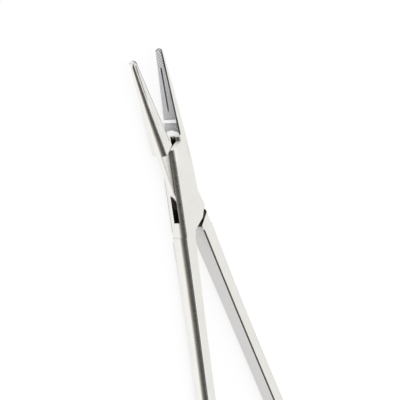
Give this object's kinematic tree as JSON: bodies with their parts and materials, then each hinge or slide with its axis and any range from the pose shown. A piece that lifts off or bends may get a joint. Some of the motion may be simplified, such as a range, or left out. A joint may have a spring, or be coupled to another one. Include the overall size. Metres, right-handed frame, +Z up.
{
  "type": "needle holder",
  "caption": "Locking surgical needle holder with a box lock, cross-serrated tapered jaws, long shanks, a ratchet and oval finger rings.",
  "frame": {"origin": "pivot axis at the underside of the box, where the instrument rests", "axes": "+Z up along the pivot axis, +Y along the bisector of the jaws towards their tips, +X to the box half's jaw"},
  "size_m": [0.0956, 0.1966, 0.0056],
  "materials": {
    "box_half_steel": "satin",
    "tenon_half_steel": "satin",
    "pin_steel": "ground flush, satin"
  },
  "bodies": {
    "box_body": {"box_half": "box_half_steel", "pivot_pin": "pin_steel"},
    "tenon_body": {"tenon_half": "tenon_half_steel"}
  },
  "joints": [
    {"name": "box_lock", "type": "hinge", "parent": "box_body", "child": "tenon_body", "pos_m": [0, 0, 0], "axis": [0, 0, 1], "range_deg": [-14.3, 30]}
  ]
}
